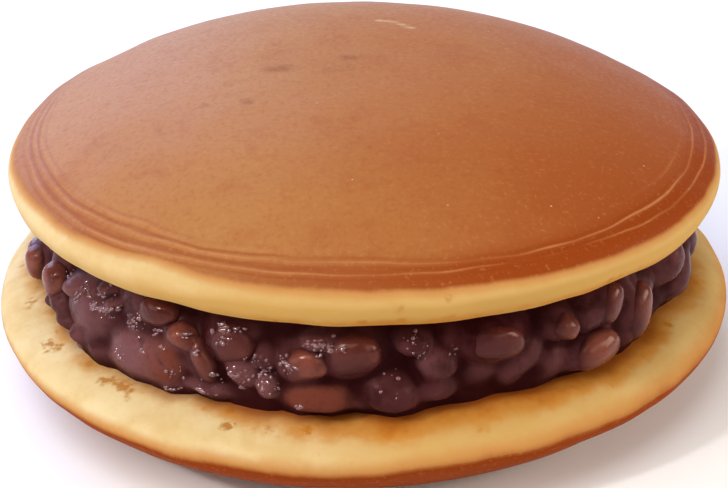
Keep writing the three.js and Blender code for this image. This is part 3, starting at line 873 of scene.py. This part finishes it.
def paste_side():
    """The side of the paste as a grid over angle and height, pushed out by its lumps."""
    angle = -math.pi + np.arange(PASTE_COLUMNS) * (FULL_TURN / PASTE_COLUMNS)
    level = np.linspace(0, 1, PASTE_ROWS)[:, None]
    theta = np.tile(angle, (PASTE_ROWS, 1))
    low, _ = face_heights(angle, np.full_like(angle, PASTE_RADIUS + PASTE_LEAN / 2))
    _, high = face_heights(angle, np.full_like(angle, PASTE_RADIUS))
    low, high = low - PASTE_TUCK, high + PASTE_TUCK
    z = low + (high - low) * level
    foot = by_angle(FOOT, angle)
    soft_foot = blur(np.tile(foot, (2, 1)), 1, FOOT_SOFTENED)[0]
    rho = soft_foot + PASTE_BULGE * np.sin(np.pi * level) - PASTE_LEAN * level
    plain = polar(rho, theta, z)
    for height, size, seed in PASTE_WAVES:
        rho += height * waves(plain, size, seed).reshape(rho.shape)
    rho -= grown(PASTE_HOLLOW_BY_LEVEL, level)

    tone = np.zeros_like(rho)
    brown = np.zeros_like(rho)
    for lump in (*small_lumps(), *large_lumps()):
        reach = share_of_lump(lump, theta, z)
        near = reach < LUMP_END
        top = PASTE_RADIUS + PASTE_BULGE + lump.proud - lump.depth * (1 - dome(reach[near]))
        share = np.clip(0.5 + 0.5 * (top - rho[near]) / lump.soft, 0, 1)
        rho[near] = rho[near] * (1 - share) + top * share + lump.soft * share * (1 - share)
        tone[near] = tone[near] * (1 - share) + lump.light * share
        brown[near] = brown[near] * (1 - share) + lump.brown * share

    lumpy = polar(rho, theta, z)
    wet = smoothstep(*WET_SPAN, waves(lumpy, WET_SIZE, WET_SEED).reshape(rho.shape))
    height, size, seed = PASTE_RIPPLE
    rho += height * waves(lumpy, size, seed).reshape(rho.shape)
    at_foot = 1 - smoothstep(0.0, FOOT_LEVEL, level)
    held = (np.minimum(rho, foot + FOOT_PROUD) + foot) / 2
    rho = rho * (1 - at_foot) + held * at_foot

    # Painted shade: dark in hollows, far behind the beans, near the top and at the foot
    recess = PASTE_RADIUS + PASTE_BULGE + PASTE_LEAN * (0.5 - level) - rho
    deep = grown(HOLLOW_SHADE, blur(rho, MEAN_ROWS, MEAN_COLUMNS) - rho)
    for growth, x in ((RECESS_SHADE, recess), (TOP_SHADE, level), (FOOT_SHADE, level)):
        deep = np.maximum(deep, grown(growth, x))

    # The lowest row follows the face it lies on, further down where the paste reaches out
    low, _ = face_heights(angle, rho[0])
    z = low - PASTE_TUCK + (high - low + PASTE_TUCK) * level
    return PasteSide(theta, np.maximum(rho, PASTE_LEAST), z, tone, brown, deep, wet)


PASTE_SIDE = paste_side()


def with_ends(grid):
    """A grid with its first and last rows once more."""
    return np.concatenate([grid[:1], grid, grid[-1:]])


def paste_body():
    inner = np.full((1, PASTE_COLUMNS), PASTE_INSIDE)
    rho = np.concatenate([inner, PASTE_SIDE.rho, inner])
    z = with_ends(PASTE_SIDE.z)
    side = polar(rho, with_ends(PASTE_SIDE.theta), z)
    points = np.concatenate([[[0, 0, z[0].mean()]], side, [[0, 0, z[-1].mean()]]])
    faces = turned_faces(len(rho) + 2, PASTE_COLUMNS)
    looks = {key: np.pad(with_ends(getattr(PASTE_SIDE, key)).ravel(), 1) for key in PASTE_LOOKS}
    return points, faces, looks


def paste_reach(angle, up):
    """Radius of the side of the paste at angles and heights."""
    rho, z = PASTE_SIDE.rho, PASTE_SIDE.z
    column = np.round((angle + math.pi) / FULL_TURN * PASTE_COLUMNS).astype(int) % PASTE_COLUMNS
    share = (up - z[0, column]) / (z[-1, column] - z[0, column])
    row = np.clip(np.round(share * (PASTE_ROWS - 1)), 0, PASTE_ROWS - 1).astype(int)
    return rho[row, column]


def ball(rings, sides):
    """A ball of radius 1 about its own middle, with its ends on the Z axis."""
    points = [(0, 0, 1)]
    for i in range(1, rings):
        tip = math.pi * i / rings
        for j in range(sides):
            turn = FULL_TURN * j / sides
            points.append((math.sin(tip) * math.cos(turn), math.sin(tip) * math.sin(turn), math.cos(tip)))
    points.append((0, 0, -1))
    return np.array(points), turned_faces(rings + 1, sides)


def bean_shape(index, long, wide):
    """A cooked bean about its own middle: long axis X, out along Z."""
    unit, faces = ball(BEAN_RINGS, BEAN_SIDES)
    full = (np.abs(unit) ** BEAN_FULLNESS).sum(1) ** (-1 / BEAN_FULLNESS)
    p = unit * full[:, None] * np.array([long / 2, wide / 2, BEAN_DEPTH / 2])
    p[:, 1] -= BEAN_BEND * wide * (unit[:, 0] ** 2 - BEAN_BEND_TURN)
    dents = sum(depth * waves(unit * DENTED_BALL, size, seed + index) for depth, size, seed in BEAN_DENTS)
    return p + unit * dents[:, None], faces


def on_side(p, reach, angle, up, lean, rise=0.0):
    """A shape put on the side of the paste: Z points out, and up by the rise, and X is turned
    from level by the lean."""
    centre = np.array([reach * math.cos(angle), reach * math.sin(angle), up])
    out = np.array([math.cos(angle), math.sin(angle), rise]) / math.hypot(1, rise)
    level = np.array([-math.sin(angle), math.cos(angle), 0])
    along = level * math.cos(lean) + np.cross(out, level) * math.sin(lean)
    return centre + p[:, :1] * along + p[:, 1:2] * np.cross(out, along) + p[:, 2:] * out


def joined(shapes):
    """Points and faces of many shapes as those of one mesh."""
    all_faces = []
    count = 0
    for points, faces in shapes:
        all_faces += [tuple(count + corner for corner in face) for face in faces]
        count += len(points)
    return np.concatenate([points for points, _ in shapes]), all_faces


def bean_heap():
    """The bare beans, darker where the paste runs up them."""
    shapes, tones = [], []
    for k, (kind, at, up, long, wide, tilt, proud, tone) in enumerate(ALL_LUMPS):
        if kind != "bean":
            continue
        bean, faces = bean_shape(k, long, wide)
        reach = PASTE_RADIUS + PASTE_BULGE + proud - BEAN_DEPTH / 2
        shapes.append((on_side(bean, reach, math.radians(at), up, math.radians(tilt)), faces))
        tones.append(np.full(len(bean), tone))
    points, faces = joined(shapes)
    x, y, z = points.T
    height, size, seed = BURIED_WAVES
    stands_out = np.hypot(x, y) - paste_reach(np.arctan2(y, x), z)
    buried = 1 - smoothstep(0.0, 1.0, stands_out + height * waves(points, size, seed))
    wet = np.full(len(points), BEAN_WET)
    return points, faces, {"tone": np.concatenate(tones), "deep": buried, "wet": wet}


def wet_grains():
    """Angle, height, lean and half sizes of each grain, in the patches and then the streaks."""
    for n, (at, up, radius, number) in enumerate(GRAINY):
        salt = 70 + 3 * n
        for i in range(number):
            way, away = FULL_TURN * draw(i, salt), radius * math.sqrt(draw(i, salt + 1))
            angle = math.radians(at) + away * math.cos(way) / PASTE_RADIUS
            size = drawn(PATCH_GRAIN, i, salt + 2, GRAIN_POWER)
            yield angle, up + away * math.sin(way), way, size * np.array(PATCH_SHAPE)
    for n, (at, up, long, wide, tilt) in enumerate(GLINTS):
        lean = math.radians(tilt)
        for i in range(round(GLINT_GRAINS * long) + GLINT_MORE):
            s, t = long * (draw(i, 140 + n) - 0.5), wide * (draw(i, 170 + n) - 0.5)
            aside = s * math.cos(lean) - t * math.sin(lean)
            above = s * math.sin(lean) + t * math.cos(lean)
            size = drawn(GLINT_GRAIN, i, 200 + n, GRAIN_POWER)
            yield math.radians(at) + aside / PASTE_RADIUS, up + above, lean, size * np.array(GLINT_SHAPE)


def grain_heap(beans):
    """Small wet grains on the paste and beans, each part sunk, flat and facing up a little."""
    grain, grain_faces = ball(GRAIN_RINGS, GRAIN_SIDES)
    x, y, z = beans.T
    bean_angle, bean_reach = np.arctan2(y, x), np.hypot(x, y)
    shapes = []
    for angle, up, lean, size in wet_grains():
        near = np.hypot((bean_angle - angle) * PASTE_RADIUS, z - up) < GRAIN_NEAR
        surface = max(paste_reach(angle, up), bean_reach[near].max(initial=0))
        reach = surface - GRAIN_SUNK * size[2]
        shapes.append((on_side(grain * size, reach, angle, up, lean, GRAIN_RISE), grain_faces))
    points, faces = joined(shapes)
    # Grains take the paste's light colour in full, partly painted sheen
    full = np.ones(len(points))
    return points, faces, {"tone": full, "wet": full}


def add_piece(name, points, faces, attributes, look, slot):
    """A piece on the body, with values at its points. Its material reads any other as 0."""
    obj = mesh_object(name, points + SHIFT, faces)
    for key, values in attributes.items():
        layer = obj.data.attributes.new(key, "FLOAT", "POINT")
        layer.data.foreach_set("value", np.asarray(values, dtype=np.float32))
    obj.data.materials.append(look)
    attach(obj, "root")
    return obj


def crust_marks(points):
    mark = np.zeros(len(points))
    for x, y, long, wide, strength in MARKS:
        off = ((points[:, 0] - x) / (long / 2)) ** 2 + ((points[:, 1] - y) / (wide / 2)) ** 2
        mark += strength * np.exp(-off)
    return np.clip(mark, 0, 1)


def pale_spots(points):
    spot = np.zeros(len(points))
    for x, y, z, radius, strength in SPOTS:
        spot += strength * np.exp(-((points - (x, y, z)) ** 2).sum(1) / radius**2)
    return np.clip(spot, 0, 1)


def crust_scar(points):
    knots = np.arange(len(SCAR))
    steps = np.linspace(0, len(SCAR) - 1, SCAR_STEPS)
    x, y = (np.interp(steps, knots, values) for values in zip(*SCAR))
    off = np.hypot(points[:, None, 0] - x, points[:, None, 1] - y).min(1)
    return SCAR_STRENGTH * np.exp(-((off / SCAR_HALF) ** 2))


def upper_colours(points, along, share):
    x, y, _ = points.T
    angle = np.arctan2(y, x)
    on_crust = along > 0
    # More golden towards the right, partly painted shade
    golden_and_shade = UPPER_GOLDEN + grown(UPPER_GOLDEN_BY_LENGTH, along) + grown(UPPER_GOLDEN_SHADE_BY_X, x)
    # Ruddier at the front right, partly painted shade
    front_shade = grown(FRONT_RUDDY_SHADE_BY_Y, y) * grown(FRONT_RUDDY_SHADE_BY_X, x)
    return {
        "edge": (along - by_angle(UPPER_EDGE, angle)) / by_angle(UPPER_FADE, angle),
        "band": by_angle(BAND, angle) * grown(UPPER_BAND_BY_SHARE, share) * on_crust,
        "toast": grown(UPPER_TOAST_BY_LENGTH, along) * grown(UPPER_TOAST_BY_X, x),
        "golden_and_shade": np.clip(golden_and_shade, 0, 1),
        # Painted light towards the left
        "light": grown(UPPER_LIT_BY_X, x),
        # Ruddier to the right and front right, partly painted shade
        "ruddy_and_shade": np.clip(grown(UPPER_RUDDY_SHADE_BY_X, x) + front_shade, 0, 1) * on_crust,
        "mark": np.where(on_crust, crust_marks(points), 0) + pale_spots(points),
        "scar": crust_scar(points) * on_crust,
    }


def lower_colours(points, along, share):
    x, y, _ = points.T
    angle = np.arctan2(y, x)
    on_crust = along > 0
    from_paste = np.hypot(x, y) - by_angle(FOOT, angle)
    fading = 1 - smoothstep(TOAST_FULL, 1, from_paste / by_angle(TOAST_REACH, angle))
    return {
        "edge": (along - by_angle(LOWER_EDGE, angle)) / by_angle(LOWER_FADE, angle),
        "band": grown(LOWER_BAND_BY_SHARE, share) * on_crust,
        "toast": by_angle(TOASTING, angle) * fading * ~on_crust,
        # More golden towards the right, partly painted shade, and paler at the far right, painted light
        "golden_and_shade": LOWER_GOLDEN + grown(LOWER_GOLDEN_SHADE_BY_X, x) - grown(LOWER_LIT_BY_X, x),
        # Ruddier towards the right, partly painted shade
        "ruddy_and_shade": grown(LOWER_RUDDY_SHADE_BY_X, x),
        "mark": pale_spots(points),
        "dark_by_paste": by_angle(DARKENING_BY_PASTE, angle) * grown(DARK_BY_PASTE_DISTANCE, from_paste) * ~on_crust,
    }


def build_pancake(name, node, p, crust_up, look):
    points, faces, along, ring, share = pancake(p, crust_up)
    colours = upper_colours if crust_up else lower_colours
    attributes = {"ring": ring, **colours(points, along, share)}
    obj = add_piece(name, points, faces, attributes, look, "pancake")
    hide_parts(node)


upper_look = pancake_material("upper_pancake", specular=0.07)
lower_look = pancake_material("lower_pancake", specular=0.01)
paste_look = paste_material(
    "bean_paste", PASTE_COLOURS, clot_mm=2.8, smoothest=0.22, specular=0.06, tint=WET_PASTE
)
bean_look = paste_material(
    "cooked_bean", BEAN_COLOURS, clot_mm=4.0, smoothest=0.14, specular=0.26, tint=WET_BEAN
)
grain_look = paste_material(
    "wet_grain", PASTE_COLOURS, clot_mm=2.8, smoothest=0.22, specular=1.0, tint=WET_GRAIN
)
build_pancake("upper_crumb", "upper_pancake", UPPER, True, upper_look)
build_pancake("lower_crumb", "lower_pancake", LOWER, False, lower_look)
paste_piece = add_piece("paste", *paste_body(), paste_look, "bean_paste")
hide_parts("bean_paste")
bean_points, *bean_rest = bean_heap()
add_piece("beans", bean_points, *bean_rest, bean_look, "bean_paste")
add_piece("grains", *grain_heap(bean_points), grain_look, "bean_paste")


# Camera at the photo's angle, and floor, in mm
CAMERA_ELEVATION = math.radians(27.5)
CAMERA_DISTANCE = 264.0
CAMERA_LENS, CAMERA_SENSOR = 99.4, 36.0
AIM = np.array([0.227, -0.437, 13.38]) + SHIFT
FLOOR_HALF = 4000
FLOOR_GREY = (0.92, 0.92, 0.92)
# Lights, in metres and watts
LOW_AIM, HIGH_AIM = (0, 0, 0.02), (0, 0, 0.03)
WARM, NEAR_WHITE, COOL, BLUE = (1.0, 0.93, 0.82), (1.0, 0.97, 0.97), (0.88, 0.92, 1.0), (0.42, 0.53, 1.0)
# Softboxes: name, place, aim, size, power and colour
LIGHTS = (
    ("key", (-0.22, -0.33, 0.68), LOW_AIM, (0.5, 0.5), 3.05, (1.0, 0.98, 0.96)),
    ("left", (-0.62, -0.28, 0.22), LOW_AIM, (0.4, 0.3), 1.1, (1.0, 0.97, 0.96)),
    ("fill", (0.55, -0.50, 0.34), LOW_AIM, (0.4, 0.4), 1.35, WARM),
    ("right", (0.62, -0.06, 0.24), LOW_AIM, (0.3, 0.25), 2.1, WARM),
    ("back", (-0.05, 0.90, 0.14), HIGH_AIM, (1.2, 0.3), 1.7, COOL),
    ("back_left", (-0.40, 0.62, 0.41), HIGH_AIM, (0.7, 0.5), 7.0, BLUE),
    ("glint", (-0.42, -0.30, 0.40), LOW_AIM, (0.05, 0.05), 1.4, NEAR_WHITE),
)
# A small lamp that only shows as highlights
SPARKLE = ("sparkle", (-0.33, -0.32, 0.46), LOW_AIM, (0.05, 0.05), 2.4, NEAR_WHITE)
STUDIO_COLOUR = (1.0, 0.98, 0.95, 1)
STUDIO_STRENGTH = 0.24


def floor():
    ends = (-FLOOR_HALF, FLOOR_HALF)
    corners = np.array([(x, y, 0) for x in ends for y in ends])
    obj = mesh_object("floor", corners, [(0, 2, 3, 1)])
    g = Graph("pale_floor")
    g.shade(Base_Color=FLOOR_GREY, Roughness=0.85, Specular_IOR_Level=0.2)
    obj.data.materials.append(g.material)


def softbox(name, place, aim, size, power, colour):
    data = bpy.data.lights.new(name, "AREA")
    data.shape = "RECTANGLE"
    data.size, data.size_y = size
    data.energy = power
    data.color = colour
    obj = add_object(name, data)
    obj.location = place
    obj.rotation_euler = (Vector(aim) - Vector(place)).to_track_quat("-Z", "Y").to_euler()
    return obj


def studio():
    world = bpy.data.worlds.new("studio")
    world.use_nodes = True
    background = world.node_tree.nodes["Background"]
    background.inputs["Color"].default_value = STUDIO_COLOUR
    background.inputs["Strength"].default_value = STUDIO_STRENGTH
    bpy.context.scene.world = world


def camera():
    data = bpy.data.cameras.new("camera")
    data.lens = CAMERA_LENS
    data.sensor_width = CAMERA_SENSOR
    obj = add_object("camera", data)
    back = np.array([0, -math.cos(CAMERA_ELEVATION), math.sin(CAMERA_ELEVATION)])
    obj.location = (AIM + CAMERA_DISTANCE * back) * MM
    obj.rotation_euler = (math.pi / 2 - CAMERA_ELEVATION, 0, 0)
    bpy.context.scene.camera = obj


floor()
for light in LIGHTS:
    softbox(*light)
sparkle = softbox(*SPARKLE)
sparkle.visible_diffuse = False
studio()
bpy.context.scene.view_settings.view_transform = "Standard"
camera()
